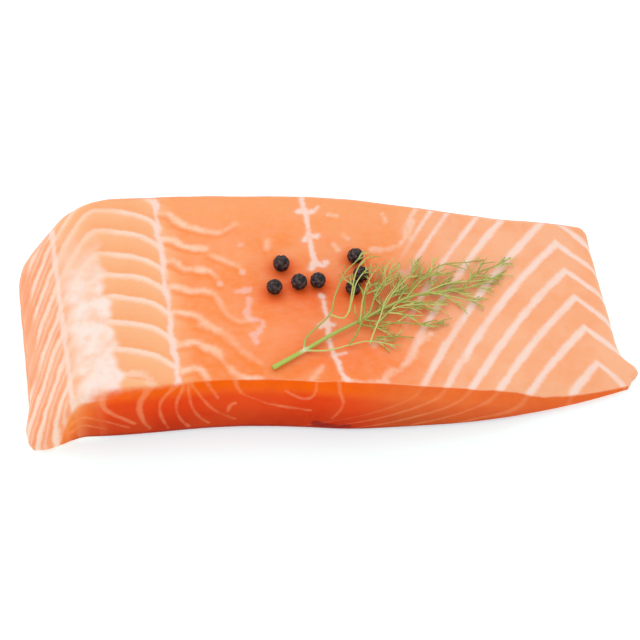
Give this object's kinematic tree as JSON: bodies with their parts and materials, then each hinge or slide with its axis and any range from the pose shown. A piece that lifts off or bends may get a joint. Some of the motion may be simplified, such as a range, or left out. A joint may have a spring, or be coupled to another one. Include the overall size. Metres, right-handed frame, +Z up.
{
  "type": "raw salmon fillet",
  "caption": "Raw salmon fillet portion, thick at the back and thin at the belly, with black peppercorns and a sprig of dill lying on it.",
  "frame": {"origin": "middle of the underside's box, on the surface that the fillet lies on", "axes": "+X from the back of the fish to its belly, +Y along the fish's length, +Z up out of the flesh side"},
  "size_m": [0.188, 0.0838, 0.0275],
  "materials": {
    "salmon_flesh": "moist raw fish flesh, orange with pale fat lines",
    "black_pepper": "dry wrinkled black peppercorn",
    "dill": "fresh yellow-green herb stem"
  },
  "bodies": {
    "root": {"salmon_fillet": "salmon_flesh", "peppercorn_1": "black_pepper", "peppercorn_2": "black_pepper", "peppercorn_3": "black_pepper", "peppercorn_4": "black_pepper", "peppercorn_5": "black_pepper", "peppercorn_6": "black_pepper", "peppercorn_7": "black_pepper", "dill_sprig": "dill"}
  },
  "joints": []
}
